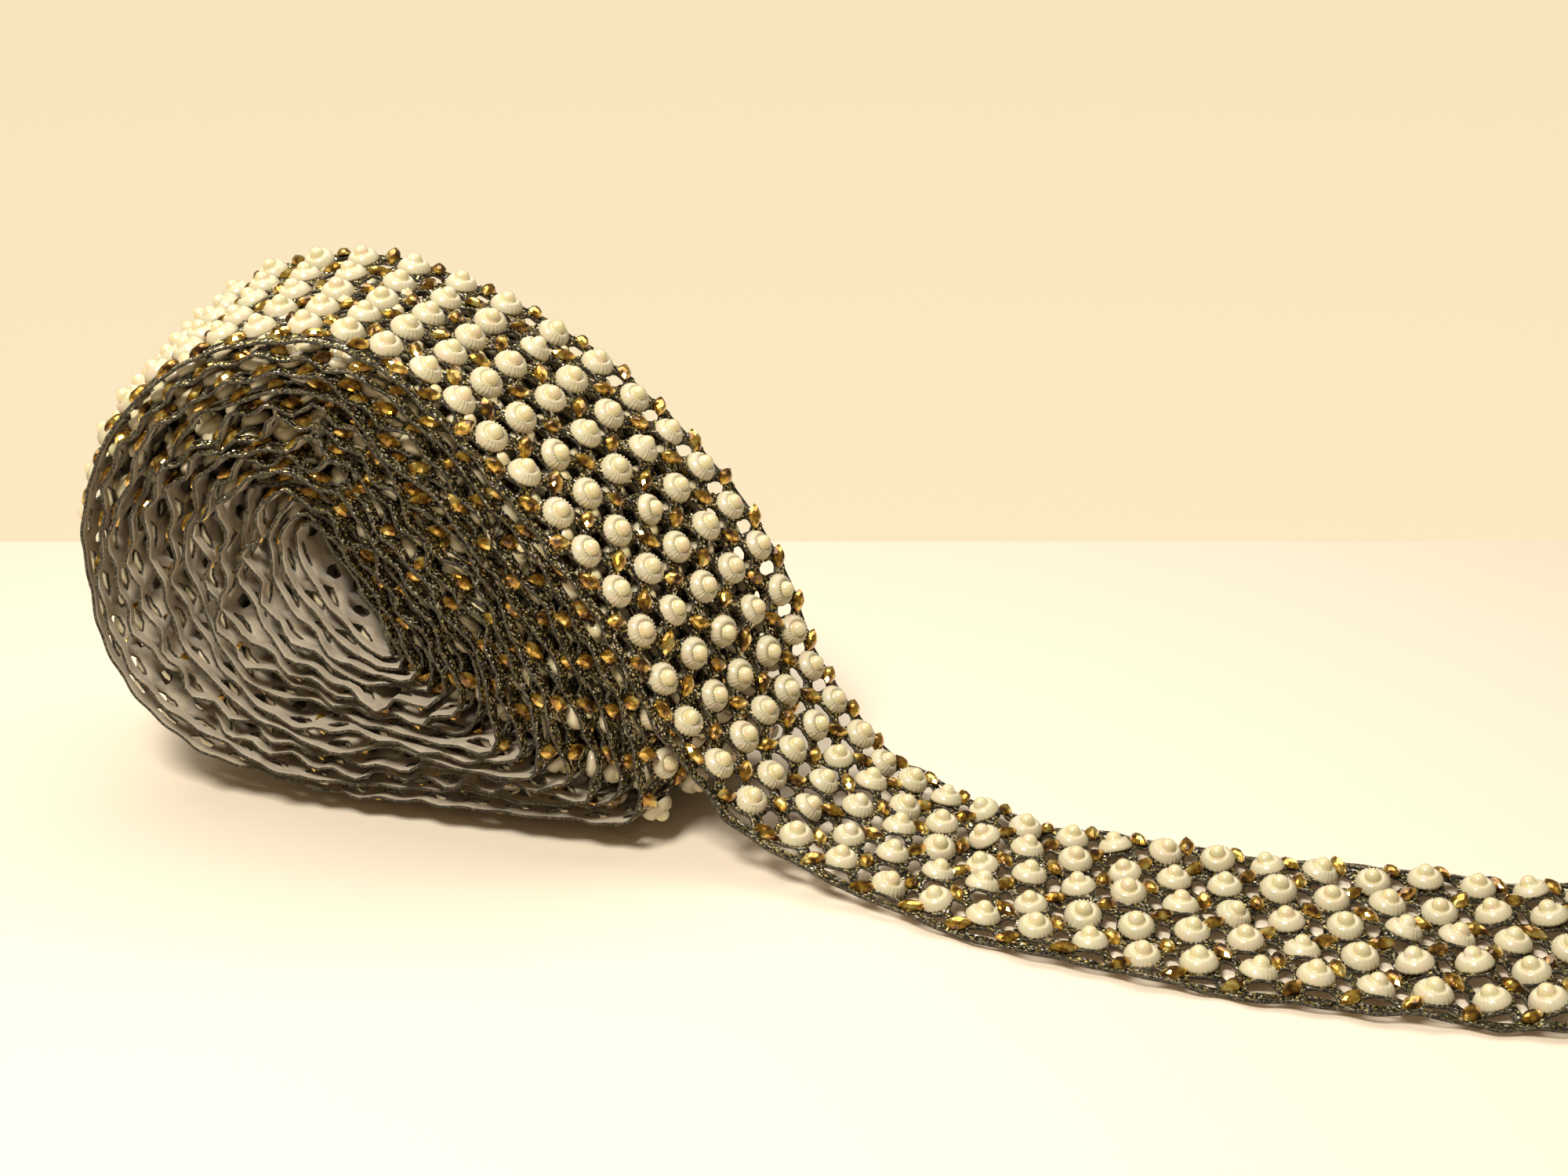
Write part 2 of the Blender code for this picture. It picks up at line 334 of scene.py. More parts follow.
class Strip:
    """The bent band: where a point of the flat band lies, and which way is up from it."""

    def __init__(self):
        loose_near, loose_far = loose_part("near"), loose_part("far")
        near = np.vstack([loose_near, winding("near")])
        far = np.vstack([loose_far, winding("far")])
        length = run_along((near + far) / 2)
        self.leaves_at = length[len(loose_near)]
        self.length = length[-1]
        self.marks = np.arange(0.0, self.length, SAMPLE_STEP)
        self.near = read_line(near, length, self.marks)
        self.far = read_line(far, length, self.marks)
        self.ease_corner()

    def ease_corner(self):
        """Rounds the joint between the loose end and the outer turn."""
        share = np.exp(-((self.marks - self.leaves_at) / CORNER_REACH) ** 2)[:, None]
        for edge in (self.near, self.far):
            eased = edge.copy()
            for _ in range(CORNER_ROUNDS):
                eased[1:-1] = (eased[:-2] + 2 * eased[1:-1] + eased[2:]) / 4
            edge += (eased - edge) * share

    def ends(self, distance):
        """Points of both edges at distances from the cut end."""
        return read_line(self.near, self.marks, distance), read_line(self.far, self.marks, distance)

    def felt(self, distance, share):
        """Points of the felt side at a share of the way from the near edge to the far one."""
        near, far = self.ends(distance)
        return near + (far - near) * share

    def frames(self, distance, across):
        """Points on the felt side, with the directions along, across and up, for the flat places given."""
        distance = np.asarray(distance, float)
        share = (np.asarray(across, float) / BAND_WIDTH)[:, None]
        point = self.felt(distance, share)
        along = self.felt(distance - SAMPLE_STEP, share) - self.felt(distance + SAMPLE_STEP, share)
        along /= np.linalg.norm(along, axis=1)[:, None]
        near, far = self.ends(distance)
        up = np.cross(along, far - near)
        up /= np.linalg.norm(up, axis=1)[:, None]
        return point, along, np.cross(up, along), up


def lattice_place(cell, row):
    """Flat place of a pearl: its distance from the cut end and its place across the band."""
    across = EDGE_TAPE + (row + 0.5) * PITCH
    return CUT_MARGIN + (cell + 0.5) * PITCH + ROW_SLANT * PITCH * row, across


def lies_on_table(strip, distance):
    """One on the loose end, fading to nothing where the band joins the roll."""
    return np.clip((strip.leaves_at - distance) / TABLE_FADE, 0.0, 1.0)


def swell(strip, distance, across):
    """How far the loose cloth stands off the table, in millimetres."""
    waves = np.zeros_like(distance)
    for wave in RIPPLES:
        waves += wave.size * np.sin(distance * wave.along + across * wave.across + wave.start)
    return lies_on_table(strip, distance) * np.maximum(SWELL_HEIGHT + SWELL_RIPPLE * waves, SWELL_LEAST)


class Leans:
    """How far each pearl leans, together with the ring of cloth that it sits on."""

    def __init__(self, cells, rng):
        self.table = np.clip(rng.normal(0.0, 1.0, (cells, PEARL_ROWS, 2)), -LEAN_MOST, LEAN_MOST)

    def read(self, strip, distance, across):
        """Slopes of the pearl nearest to a flat place, the place as seen from it, and its share there."""
        row = np.clip(np.round((across - EDGE_TAPE) / PITCH - 0.5), 0, PEARL_ROWS - 1).astype(int)
        cell = np.round((distance - CUT_MARGIN) / PITCH - 0.5 - ROW_SLANT * row).astype(int)
        cell = np.clip(cell, 0, len(self.table) - 1)
        pearl_u, pearl_v = lattice_place(cell, row)
        off_u, off_v = distance - pearl_u, across - pearl_v
        holds = np.clip((PITCH / 2 - np.hypot(off_u, off_v)) / (PITCH / 2 - DISC_RADIUS), 0.0, 1.0)
        typical = ROLL_LEAN + TABLE_LEAN * lies_on_table(strip, distance)
        return self.table[cell, row] * typical[:, None], np.column_stack([off_u, off_v]), holds

    def lift(self, strip, distance, across):
        """How far a flat place is lifted by the lean of its pearl, in millimetres."""
        slope, off, holds = self.read(strip, distance, across)
        return (slope * off).sum(1) * holds


def bend(strip, leans, distance, across, height):
    """Points of the flat band, at heights above its felt side, put onto the bent strip, in metres."""
    point, _, _, up = strip.frames(distance, across)
    lift = swell(strip, distance, across) + leans.lift(strip, distance, across) + height
    return (point + up * lift[:, None] + PLACE) * MM


def cloth_distance(u, v):
    """How far a flat point, seen from a pearl, is from the cloth round it; below 0 it is on the cloth."""
    near = np.full(np.shape(u), 1e3)
    for row in (-2, -1, 0, 1, 2):
        for cell in (-2, -1, 0, 1, 2):
            pearl_u, pearl_v = cell * PITCH + ROW_SLANT * PITCH * row, row * PITCH
            near = np.minimum(near, np.hypot(u - pearl_u, v - pearl_v) - DISC_RADIUS)
            stone_u = (cell + 0.5) * PITCH + ROW_SLANT * PITCH * (row + 0.5)
            stone_v = (row + 0.5) * PITCH
            wide, tall = STONE_PATCH
            round_off = np.hypot((u - stone_u) / wide, (v - stone_v) / tall) - 1
            near = np.minimum(near, round_off * wide)
            for side in (-1, 1):
                for level in (0, 1):
                    end_u = stone_u + side * PITCH / 2 + ROW_SLANT * PITCH * (level - 0.5)
                    end_v = (row + level) * PITCH
                    leg_u, leg_v = end_u - stone_u, end_v - stone_v
                    share = ((u - stone_u) * leg_u + (v - stone_v) * leg_v) / (leg_u ** 2 + leg_v ** 2)
                    share = np.clip(share, 0, 1)
                    gap = np.hypot(u - stone_u - share * leg_u, v - stone_v - share * leg_v) - NECK_HALF
                    near = np.minimum(near, gap)
    return near


def gap_outline(centre_u, centre_v, angles):
    """The rim of a gap: for each angle, how far it is from the gap's middle to the cloth."""
    reach = np.linspace(0.3, PITCH / 2, 120)
    rim = []
    for angle in angles:
        off = cloth_distance(centre_u + reach * math.cos(angle), centre_v + reach * math.sin(angle))
        hits = np.nonzero(off < 0.0)[0]
        rim.append(reach[hits[0]] if len(hits) else reach[-1])
    rim = np.array(rim)
    return (2 * rim + np.roll(rim, 1) + np.roll(rim, -1)) / 4


def tile_outline(kind, per_side):
    """Flat points round a tile, as seen from its middle."""
    deep = TAPE_CUT / PITCH
    corners = {
        "along": [(-0.5, 0), (0, -0.5), (0.5, 0), (0, 0.5)],
        "across": [(0, -0.5), (0.5, 0), (0, 0.5), (-0.5, 0)],
        "low": [(-0.5, 0), (-0.5, -deep), (0, -deep), (0.5, -deep), (0.5, 0), (0, 0.5)],
        "high": [(0.5, 0), (0.5, deep), (0, deep), (-0.5, deep), (-0.5, 0), (0, -0.5)],
    }[kind]
    outline = []
    for start, end in zip(corners, corners[1:] + corners[:1]):
        for step in range(per_side):
            share = step / per_side
            u = (start[0] + (end[0] - start[0]) * share) * PITCH
            v = (start[1] + (end[1] - start[1]) * share) * PITCH
            outline.append((u + ROW_SLANT * v, v))
    return np.array(outline)


def half_gap_rim(outline, side):
    """The rim of a half gap at an edge tape; side is 1 at the near tape and -1 at the far one."""
    middle = np.array([ROW_SLANT * EDGE_GAP_MIDDLE * side, EDGE_GAP_MIDDLE * side])
    reach = np.linspace(0.1, 1.0, 60)
    rim = []
    for point in outline:
        away = point - middle
        u, v = middle[0] + away[0] * reach, middle[1] + away[1] * reach
        off = cloth_distance(u - ROW_SLANT * PITCH / 2, v - PITCH / 2)
        off = np.minimum(off, v * side + TAPE_CUT - 0.1)
        hits = np.nonzero(off < 0.0)[0]
        share = reach[hits[0]] if len(hits) else RIM_MOST
        rim.append(middle + away * min(share, RIM_MOST))
    return np.array(rim)


def tile(kind, per_side):
    """One tile of cloth round a gap: its outline and the gap's rim, as flat points.

    An along tile has its gap between two pearls of one row, an across tile between two rows,
    and a low or high tile is the half of an across tile against an edge tape.
    """
    outline = tile_outline(kind, per_side)
    if kind in ("low", "high"):
        return outline, half_gap_rim(outline, 1 if kind == "low" else -1)
    angles = np.arctan2(outline[:, 1], outline[:, 0])
    middle = (PITCH / 2, 0.0) if kind == "along" else (ROW_SLANT * PITCH / 2, PITCH / 2)
    reach = gap_outline(*middle, angles)
    return outline, np.column_stack([np.cos(angles), np.sin(angles)]) * reach[:, None]


def tile_places(first_cell, last_cell):
    """Kind and middle of every tile between two cells."""
    places = []
    for cell in range(first_cell, last_cell):
        for row in range(PEARL_ROWS):
            u, v = lattice_place(cell, row)
            places.append(("along", u + PITCH / 2, v))
            if row < PEARL_ROWS - 1:
                places.append(("across", u + ROW_SLANT * PITCH / 2, v + PITCH / 2))
        u, v = lattice_place(cell, 0)
        places.append(("low", u - ROW_SLANT * PITCH / 2, v - PITCH / 2))
        u, v = lattice_place(cell, PEARL_ROWS - 1)
        places.append(("high", u + ROW_SLANT * PITCH / 2, v + PITCH / 2))
    return places


def add_mesh(name, points, faces, materials, face_slots=None, smooth=True):
    mesh = bpy.data.meshes.new(name)
    mesh.from_pydata([tuple(point) for point in points], [], faces)
    for material in materials:
        mesh.materials.append(material)
    if face_slots is not None:
        mesh.polygons.foreach_set("material_index", np.asarray(face_slots, np.int32))
    mesh.polygons.foreach_set("use_smooth", np.full(len(mesh.polygons), smooth))
    mesh.update()
    thing = bpy.data.objects.new(name, mesh)
    bpy.context.scene.collection.objects.link(thing)
    return thing


class FlatCloth:
    """The openwork cloth laid out flat: points without doubles, and faces that run counterclockwise."""

    def __init__(self):
        self.points, self.faces, self.known = [], [], {}

    def number(self, u, v):
        """The number of the point at a flat place, which is added if it's new."""
        key = (round(u * POINTS_A_MM), round(v * POINTS_A_MM))
        if key not in self.known:
            self.known[key] = len(self.points)
            self.points.append((u, v))
        return self.known[key]

    def add_tile(self, centre_u, centre_v, outline, rim, rings):
        """Rings of faces from a tile's outline in to its gap."""
        layers = []
        for ring in range(rings + 1):
            share = (ring / rings) ** RING_SPREAD
            layer = outline * (1 - share) + rim * share
            layers.append([self.number(centre_u + u, centre_v + v) for u, v in layer])
        for outer, inner in zip(layers, layers[1:]):
            for index in range(len(outer)):
                after = (index + 1) % len(outer)
                self.faces.append((outer[index], outer[after], inner[after], inner[index]))

    def add_tape(self, cell, row, side, steps):
        """One pitch of the edge tape beside a row; side is -1 at the near edge and 1 at the far one."""
        u, v = lattice_place(cell, row)
        v += side * PITCH / 2
        u += side * ROW_SLANT * PITCH / 2
        for step in range(steps):
            low = u - PITCH / 2 + PITCH * step / steps
            high = u - PITCH / 2 + PITCH * (step + 1) / steps
            for inner, outer in ((TAPE_CUT / EDGE_TAPE, TAPE_CREASE), (TAPE_CREASE, 1.0)):
                face = []
                for x, y in ((low, inner), (high, inner), (high, outer), (low, outer)):
                    out = side * y * EDGE_TAPE
                    face.append(self.number(x + ROW_SLANT * out, v + out))
                self.faces.append(tuple(face if side > 0 else face[::-1]))


def flat_cloth(first_cell, last_cell, per_side, rings):
    """The flat openwork cloth between two cells: its points and its faces."""
    cloth = FlatCloth()
    tiles = {kind: tile(kind, per_side) for kind in ("along", "across", "low", "high")}
    for kind, centre_u, centre_v in tile_places(first_cell, last_cell):
        cloth.add_tile(centre_u, centre_v, *tiles[kind], rings)
    for cell in range(first_cell, last_cell):
        cloth.add_tape(cell, 0, -1, 2 * per_side)
        cloth.add_tape(cell, PEARL_ROWS - 1, 1, 2 * per_side)
    return np.array(cloth.points), cloth.faces


def open_sides(faces):
    """Sides of faces that no other face shares."""
    sides = {}
    for face in faces:
        for index in range(len(face)):
            start, end = face[index - 1], face[index]
            if (end, start) in sides:
                del sides[(end, start)]
            else:
                sides[(start, end)] = True
    return list(sides)


def flat_area(flat, faces):
    """Area of flat faces, in square millimetres."""
    area = 0.0
    for face in faces:
        corner = flat[list(face)]
        after = np.roll(corner, -1, axis=0)
        area += abs((corner[:, 0] * after[:, 1] - after[:, 0] * corner[:, 1]).sum()) / 2
    return area


def cloth_sides(strip, leans, flat):
    """Points of the glitter side and of the felt side of the bent cloth, in metres."""
    distance = flat[:, 0]
    wander = TAPE_SCALLOP * np.sin(2 * math.pi * distance / PITCH)
    wander += TAPE_WANDER.size * np.sin(distance * TAPE_WANDER.rate + TAPE_WANDER.start)
    near_tape = np.clip(1 - flat[:, 1] / EDGE_TAPE, 0, 1)
    far_tape = np.clip((flat[:, 1] - BAND_WIDTH) / EDGE_TAPE + 1, 0, 1)
    turned = far_tape * (1 - TABLE_FLATTENS * lies_on_table(strip, distance))
    across = flat[:, 1] + wander * (near_tape - far_tape) - TAPE_NARROWS * turned
    under = bend(strip, leans, distance, across, -TAPE_DROPS * turned)
    top = bend(strip, leans, distance, across, CLOTH_THICKNESS - TAPE_DROPS * turned)
    for points in (under, top):
        points[:, 2] = np.maximum(points[:, 2], TABLE_SKIN)
    return top, under


def cloth_piece(name, strip, leans, cells, fineness, materials):
    """A stretch of the openwork cloth, with its area and length laid flat.

    The materials are the glitter face, the felt back and the cut edges.
    """
    flat, faces = flat_cloth(*cells, *fineness)
    top, under = cloth_sides(strip, leans, flat)
    count = len(flat)
    # Distance runs from the cut end back into the roll, so a counterclockwise flat face looks down.
    all_faces = [tuple(face[::-1]) for face in faces]
    all_faces += [tuple(index + count for index in face) for face in faces]
    slots = [0] * len(faces) + [1] * len(faces)
    for start, end in open_sides(faces):
        all_faces.append((start, end, end + count, start + count))
        slots.append(2)
    piece = add_mesh(name, np.vstack([top, under]), all_faces, materials, slots)
    return piece, flat_area(flat, faces), (cells[1] - cells[0]) * PITCH


def pearl_shape(segments, fine):
    """A domed half pearl in a collar: points, faces and slots. Only fine ones are fluted."""
    rings = PEARL_RINGS if fine else PEARL_RINGS[::2]
    points, faces = [], []
    for ring in rings:
        for step in range(segments):
            angle = 2 * math.pi * step / segments
            flute = (1 if step % 2 == 0 else -1) if fine else 0
            radius = ring.radius + ring.flute * flute
            height = ring.height + ring.lift * flute
            points.append((radius * math.cos(angle), radius * math.sin(angle), height))
    for level in range(len(rings) - 1):
        for step in range(segments):
            after = (step + 1) % segments
            low, high = level * segments, (level + 1) * segments
            faces.append((low + step, low + after, high + after, high + step))
    points.append((0.0, 0.0, PEARL_TOP))
    last = (len(rings) - 1) * segments
    for step in range(segments):
        faces.append((last + step, last + (step + 1) % segments, len(points) - 1))
    faces.append(tuple(range(segments - 1, -1, -1)))
    collar = (sum(1 for ring in rings if ring.radius > COLLAR_INSIDE) - 1) * segments
    slots = [0] * collar + [1] * (len(faces) - collar - 1) + [0]
    return np.array(points), faces, slots


def stone_shape():
    """A boat-shaped cut stone whose long way is y: points, faces and slots."""
    right = STONE_QUARTER + [(x, -y) for x, y in STONE_QUARTER[-2::-1]]
    outline = [(-x, y) for x, y in right[1:-1]] + right[::-1]
    points, faces = [], []
    for scale, height in STONE_LEVELS:
        for x, y in outline:
            points.append((x * scale, y * scale, height))
    count = len(outline)
    for level in range(len(STONE_LEVELS) - 1):
        for step in range(count):
            after = (step + 1) % count
            low, high = level * count, (level + 1) * count
            if (step + level) % 2:
                faces.append((low + step, low + after, high + after))
                faces.append((low + step, high + after, high + step))
            else:
                faces.append((low + step, low + after, high + step))
                faces.append((low + after, high + after, high + step))
    faces.append(tuple((len(STONE_LEVELS) - 1) * count + step for step in range(count)))
    faces.append(tuple(range(count - 1, -1, -1)))
    return np.array(points), faces, [0] * len(faces)


Trimming = namedtuple("Trimming", "shape materials tilt spin smooth")


def strew(name, strip, leans, trimming, places, turns, rng):
    """Copies of a trimming set on the band at flat places, each a little tilted and turned."""
    points, faces, slots = trimming.shape
    places = np.array(places) + rng.normal(0.0, SETTING_ERROR, (len(places), 2))
    base, along, side, up = strip.frames(places[:, 0], places[:, 1])
    slope, off, holds = leans.read(strip, places[:, 0], places[:, 1])
    lift = swell(strip, places[:, 0], places[:, 1]) + (slope * off).sum(1) * holds
    base = base + up * (lift + CLOTH_THICKNESS)[:, None]
    count = len(places)
    # Distance runs against the way the band points, so a rise with distance tips a piece forward.
    lean = rng.normal(0.0, trimming.tilt, (count, 2)) + slope * holds[:, None] * (1, -1)
    up = up + along * lean[:, :1] + side * lean[:, 1:]
    up /= np.linalg.norm(up, axis=1)[:, None]
    angle = (np.array(turns) + rng.normal(0.0, trimming.spin, count))[:, None]
    along = along * np.cos(angle) + side * np.sin(angle)
    along -= up * (along * up).sum(1)[:, None]
    along /= np.linalg.norm(along, axis=1)[:, None]
    side = np.cross(up, along)
    size = rng.normal(1.0, SIZE_SPREAD, count)[:, None, None]
    local = points[None] * size
    placed = (base[:, None] + local[..., :1] * along[:, None] + local[..., 1:2] * side[:, None]
              + local[..., 2:] * up[:, None])
    placed = (placed.reshape(-1, 3) + PLACE) * MM
    all_faces = []
    for copy in range(count):
        first = copy * len(points)
        all_faces += [tuple(first + index for index in face) for face in faces]
    return add_mesh(name, placed, all_faces, trimming.materials, slots * count, trimming.smooth)


def pearl_places(first_cell, last_cell):
    """Flat places of the pearls, and how far each is turned."""
    places = [lattice_place(cell, row) for cell in range(first_cell, last_cell) for row in range(PEARL_ROWS)]
    return places, [0.0] * len(places)


def stone_places(first_cell, last_cell):
    """Stones lie aslant between pearls of one row and the next, and along both edges."""
    places, turns = [], []
    for cell in range(first_cell, last_cell):
        for row in range(PEARL_ROWS + 1):
            u, v = lattice_place(cell, row)
            inset = {0: EDGE_STONE_INSET, PEARL_ROWS: -EDGE_STONE_INSET}.get(row, 0.0)
            places.append((u + PITCH / 2 - ROW_SLANT * PITCH / 2, v - PITCH / 2 + inset))
            turns.append(STONE_TURNS[row % 2])
    return places, turns


def new_material(name):
    material = bpy.data.materials.new(name)
    material.use_nodes = True
    tree = material.node_tree
    shader = tree.nodes["Principled BSDF"]
    coords = tree.nodes.new("ShaderNodeTexCoord")
    return material, tree, shader, coords


def add_ramp(tree, factor, stops, constant=False):
    ramp = tree.nodes.new("ShaderNodeValToRGB")
    if constant:
        ramp.color_ramp.interpolation = "CONSTANT"
    elements = ramp.color_ramp.elements
    while len(elements) < len(stops):
        elements.new(0.5)
    for element, (place, colour) in zip(elements, stops):
        element.position = place
        element.color = (*colour, 1.0)
    tree.links.new(factor, ramp.inputs["Fac"])
    return ramp.outputs["Color"]


def add_noise(tree, coords, scale, detail=3.0):
    noise = tree.nodes.new("ShaderNodeTexNoise")
    noise.inputs["Scale"].default_value = scale
    noise.inputs["Detail"].default_value = detail
    tree.links.new(coords.outputs["Object"], noise.inputs["Vector"])
    return noise


def add_bump(tree, shader, height, strength, distance):
    bump = tree.nodes.new("ShaderNodeBump")
    bump.inputs["Strength"].default_value = strength
    bump.inputs["Distance"].default_value = distance
    tree.links.new(height, bump.inputs["Height"])
    tree.links.new(bump.outputs["Normal"], shader.inputs["Normal"])


def glitter_material():
    """Black-gold glitter: small flakes, each with its own colour and its own tilt."""
    material, tree, shader, coords = new_material("glitter_cloth")
    flakes = tree.nodes.new("ShaderNodeTexVoronoi")
    flakes.inputs["Scale"].default_value = 1900.0
    tree.links.new(coords.outputs["Object"], flakes.inputs["Vector"])
    split = tree.nodes.new("ShaderNodeSeparateColor")
    tree.links.new(flakes.outputs["Color"], split.inputs["Color"])
    colour = add_ramp(tree, split.outputs["Red"], [
        (0.0, (0.010, 0.008, 0.005)),
        (0.46, (0.040, 0.031, 0.014)),
        (0.64, (0.17, 0.125, 0.035)),
        (0.77, (0.45, 0.35, 0.11)),
        (0.88, (0.86, 0.78, 0.52)),
        (0.95, (1.0, 0.98, 0.94)),
    ], constant=True)
    tree.links.new(colour, shader.inputs["Base Color"])
    centred = tree.nodes.new("ShaderNodeVectorMath")
    centred.operation = "SUBTRACT"
    centred.inputs[1].default_value = (0.5, 0.5, 0.5)
    tree.links.new(flakes.outputs["Color"], centred.inputs[0])
    scaled = tree.nodes.new("ShaderNodeVectorMath")
    scaled.operation = "SCALE"
    scaled.inputs["Scale"].default_value = 1.1
    tree.links.new(centred.outputs[0], scaled.inputs[0])
    geometry = tree.nodes.new("ShaderNodeNewGeometry")
    tilted = tree.nodes.new("ShaderNodeVectorMath")
    tilted.operation = "ADD"
    tree.links.new(geometry.outputs["Normal"], tilted.inputs[0])
    tree.links.new(scaled.outputs[0], tilted.inputs[1])
    unit = tree.nodes.new("ShaderNodeVectorMath")
    unit.operation = "NORMALIZE"
    tree.links.new(tilted.outputs[0], unit.inputs[0])
    tree.links.new(unit.outputs[0], shader.inputs["Normal"])
    shader.inputs["Metallic"].default_value = 0.75
    shader.inputs["Roughness"].default_value = 0.28
    return material


def felt_material():
    """Pale felt backing, matt, with short fibres."""
    material, tree, shader, coords = new_material("felt_back")
    cloudy = add_noise(tree, coords, 220.0)
    colour = add_ramp(tree, cloudy.outputs["Fac"], [
        (0.3, (0.34, 0.28, 0.205)),
        (0.7, (0.49, 0.42, 0.325)),
    ])
    tree.links.new(colour, shader.inputs["Base Color"])
    fibres = add_noise(tree, coords, 2600.0, 5.0)
    add_bump(tree, shader, fibres.outputs["Fac"], 0.5, 0.0003)
    shader.inputs["Roughness"].default_value = 0.95
    shader.inputs["Sheen Weight"].default_value = 0.3
    shader.inputs["Specular IOR Level"].default_value = 0.2
    return material


def cut_edge_material():
    """The cut through glitter and felt: dark, with a little of the felt's colour."""
    material, tree, shader, coords = new_material("cut_edge")
    mixed = add_noise(tree, coords, 1500.0)
    colour = add_ramp(tree, mixed.outputs["Fac"], [
        (0.44, (0.014, 0.011, 0.006)),
        (0.68, (0.15, 0.125, 0.075)),
    ])
    tree.links.new(colour, shader.inputs["Base Color"])
    shader.inputs["Roughness"].default_value = 0.8
    return material


def pearl_material(name, tones):
    """Cream pearl lacquer with a faint rose and green play of colour."""
    material, tree, shader, coords = new_material(name)
    play = add_noise(tree, coords, 260.0, 1.5)
    colour = add_ramp(tree, play.outputs["Fac"], list(zip((0.30, 0.45, 0.60, 0.72), tones)))
    tree.links.new(colour, shader.inputs["Base Color"])
    shader.inputs["Roughness"].default_value = 0.32
    shader.inputs["Coat Weight"].default_value = 0.7
    shader.inputs["Coat Roughness"].default_value = 0.12
    return material


def amber_material():
    """Foil-backed amber stone: deep orange to bright gold from facet to facet, as a painted reflection:
    noise in the base colour stands in for the dark and bright facets that light would make.
    """
    material, tree, shader, coords = new_material("amber_stone")
    painted_facet_light = add_noise(tree, coords, 330.0, 2.0)
    # Painted reflection and shade: these stops, from near-black brown to bright gold, stand in for the light
    # and dark that the facets catch.
    colour = add_ramp(tree, painted_facet_light.outputs["Fac"], [
        (0.36, (0.09, 0.035, 0.004)),
        (0.47, (0.36, 0.17, 0.012)),
        (0.57, (0.66, 0.40, 0.045)),
        (0.68, (0.95, 0.76, 0.26)),
    ])
    tree.links.new(colour, shader.inputs["Base Color"])
    shader.inputs["Metallic"].default_value = 0.8
    shader.inputs["Roughness"].default_value = 0.10
    shader.inputs["Coat Weight"].default_value = 1.0
    shader.inputs["Coat Roughness"].default_value = 0.03
    return material


def plain_stage_material(name, colour, roughness):
    material, tree, shader, coords = new_material(name)
    cloudy = add_noise(tree, coords, 3.0)
    lower = tuple(0.98 * channel for channel in colour)
    tone = add_ramp(tree, cloudy.outputs["Fac"], [(0.3, lower), (0.7, colour)])
    tree.links.new(tone, shader.inputs["Base Color"])
    shader.inputs["Roughness"].default_value = roughness
    return material


def make_stage():
    """A pale table top whose back edge is level in the photo."""
    ahead = np.array([-math.sin(math.radians(CAMERA_YAW)), math.cos(math.radians(CAMERA_YAW))])
    right = np.array([ahead[1], -ahead[0]])
    foot = (np.array(CAMERA_PLACE) + PLACE)[:2] * MM
    corners = []
    for forward, side in ((TABLE_FRONT, -1), (TABLE_FRONT, 1), (TABLE_BACK, 1), (TABLE_BACK, -1)):
        x, y = foot + ahead * forward + right * side * TABLE_SIDE
        corners.append((x, y, 0.0))
    look = plain_stage_material("table", TABLE_COLOUR, 0.6)
    floor = add_mesh("table_top", corners, [(0, 1, 2, 3)], [look])
    floor.location.z = -TABLE_SINKS


def make_camera():
    data = bpy.data.cameras.new("camera")
    data.sensor_width = 36.0
    data.lens = 36.0 * CAMERA_FOCUS_PX / WIDTH_PX
    camera = bpy.data.objects.new("camera", data)
    bpy.context.scene.collection.objects.link(camera)
    camera.location = Vector((np.array(CAMERA_PLACE) + PLACE) * MM)
    camera.rotation_euler = (math.radians(90 - CAMERA_PITCH), 0.0, math.radians(CAMERA_YAW))
    bpy.context.scene.camera = camera


def area_light(name, place, target, size, power, colour):
    data = bpy.data.lights.new(name, "AREA")
    data.shape = "RECTANGLE"
    data.size, data.size_y = size
    data.energy = power
    data.color = colour
    light = bpy.data.objects.new(name, data)
    light.location = place
    light.rotation_euler = (Vector(target) - Vector(place)).to_track_quat("-Z", "Y").to_euler()
    bpy.context.scene.collection.objects.link(light)


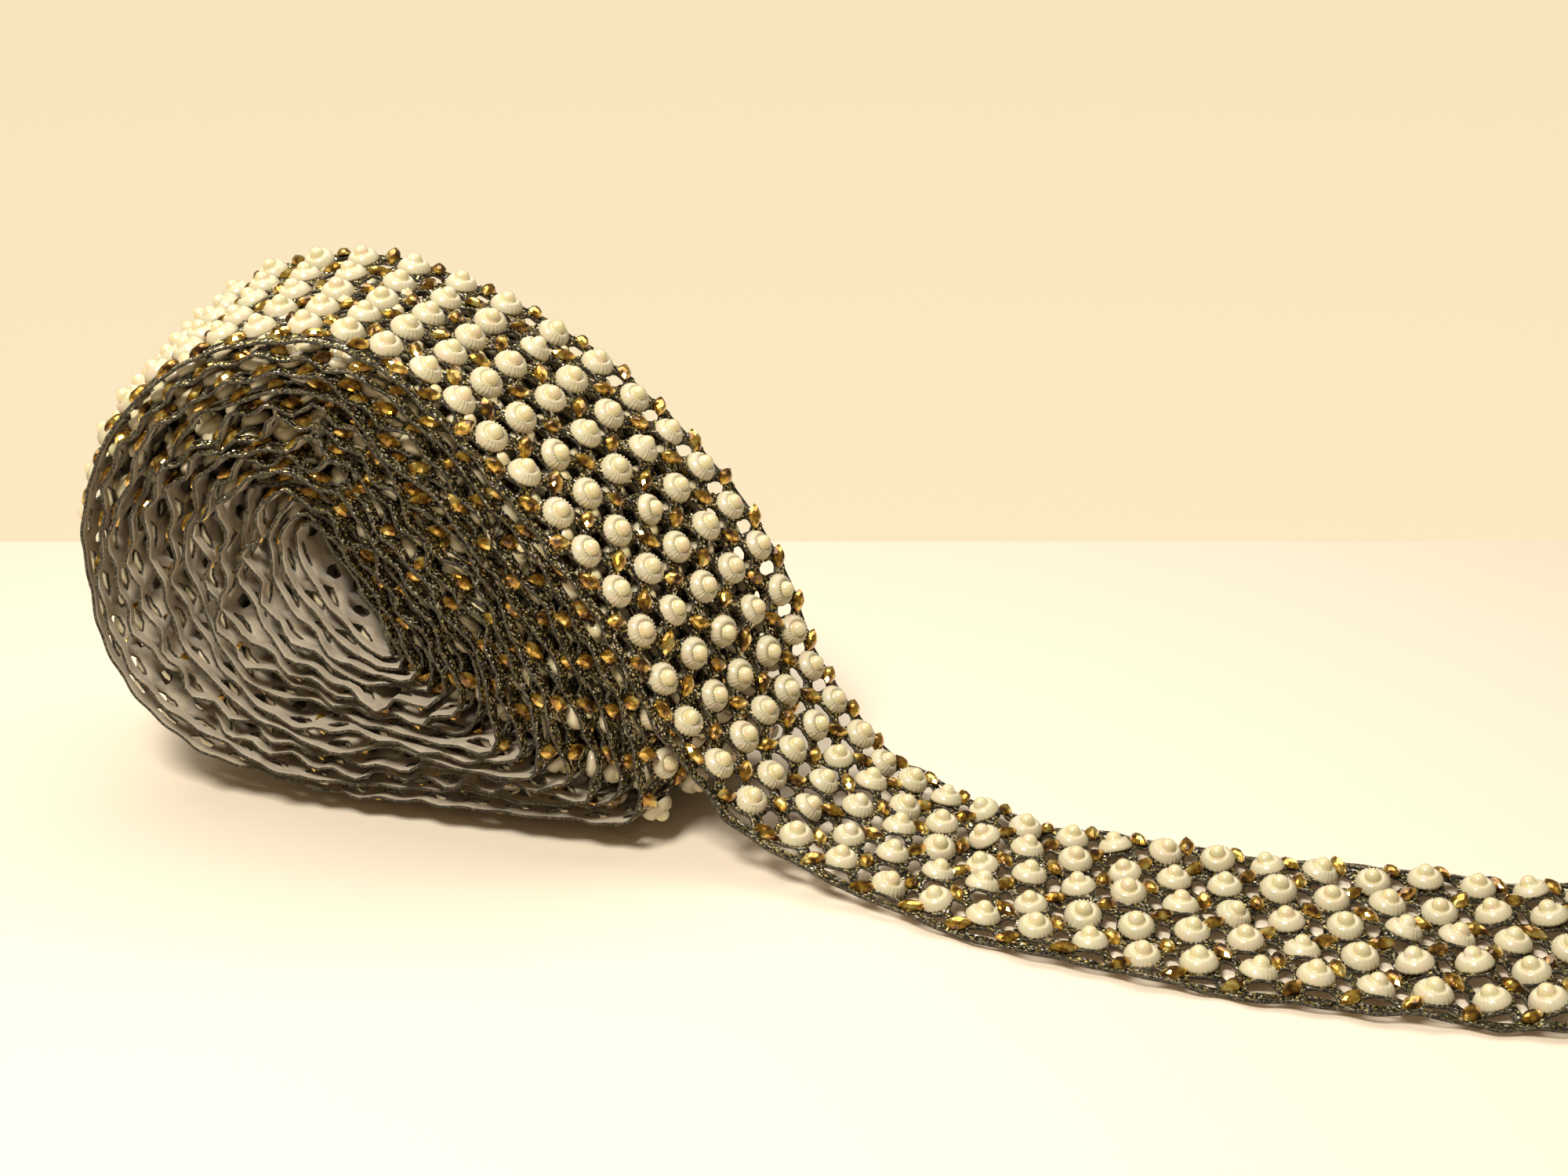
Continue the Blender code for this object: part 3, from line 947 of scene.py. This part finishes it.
def make_light():
    """A pale backdrop below eye level, a dimmer room above it, and soft lamps overhead."""
    world = bpy.context.scene.world or bpy.data.worlds.new("world")
    bpy.context.scene.world = world
    world.use_nodes = True
    tree = world.node_tree
    background = tree.nodes["Background"]
    coords = tree.nodes.new("ShaderNodeTexCoord")
    split = tree.nodes.new("ShaderNodeSeparateXYZ")
    tree.links.new(coords.outputs["Generated"], split.inputs["Vector"])
    height = tree.nodes.new("ShaderNodeMapRange")
    height.inputs["From Min"].default_value = -0.4
    height.inputs["From Max"].default_value = 0.4
    tree.links.new(split.outputs["Z"], height.inputs["Value"])
    colour = add_ramp(tree, height.outputs["Result"], [
        (0.0, BACKDROP_LOW),
        (0.46, BACKDROP_HIGH),
        (0.62, ROOM_COLOUR),
    ])
    tree.links.new(colour, background.inputs["Color"])
    background.inputs["Strength"].default_value = 1.0
    bpy.context.scene.view_settings.view_transform = "Standard"
    area_light("key", (-0.16, -0.50, 0.85), (0.0, 0.0, 0.05), (0.28, 0.25), KEY_POWER, LAMP_COLOUR)
    area_light("overhead", (-0.15, 0.30, 0.95), (-0.05, 0.0, 0.0), (1.5, 0.6), OVERHEAD_POWER, LAMP_COLOUR)


def main():
    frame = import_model()
    rng = np.random.default_rng(SEED)
    make_camera()
    make_light()
    make_stage()

    strip = Strip()
    cloth_looks = [glitter_material(), felt_material(), cut_edge_material()]
    pearl_looks = [pearl_material("pearl_collar", COLLAR_TONES), pearl_material("pearl_dome", DOME_TONES)]
    amber = amber_material()
    outer_turn = OUTER_TURNS * OUTER_TURN_LENGTH
    loose_cells = int(strip.leaves_at / PITCH)
    outer_cells = int((strip.leaves_at + outer_turn) / PITCH)
    all_cells = int((strip.length - CUT_MARGIN) / PITCH) - 1
    body = list(frame["bodies"])[0]
    leans = Leans(all_cells + 4, rng)

    stretches = [
        ("loose_end", 0, loose_cells, 4, 3, "draped", "loose_end"),
        ("outer_turn", loose_cells, outer_cells, 4, 2, "folded", "wound_roll"),
        ("inner_turns", outer_cells, all_cells, 2, 1, "folded", "wound_roll"),
    ]
    fine_pearl = Trimming(pearl_shape(FINE_SEGMENTS, True), pearl_looks, PEARL_TILT, PEARL_SPIN, True)
    plain_pearl = Trimming(pearl_shape(PLAIN_SEGMENTS, False), pearl_looks, PEARL_TILT, PEARL_SPIN, True)
    stone = Trimming(stone_shape(), [amber], STONE_TILT, STONE_SPIN, False)
    for name, first, last, per_side, rings, held, node in stretches:
        cloth, area, length = cloth_piece(
            name + "_cloth", strip, leans, (first, last), (per_side, rings), cloth_looks)
        pearl = plain_pearl if name == "inner_turns" else fine_pearl
        pearls = strew(name + "_pearls", strip, leans, pearl, *pearl_places(first, last), rng)
        stones = strew(name + "_stones", strip, leans, stone, *stone_places(first, last), rng)
        for piece in (cloth, pearls, stones):
            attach(piece, body)
        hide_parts(node)


main()
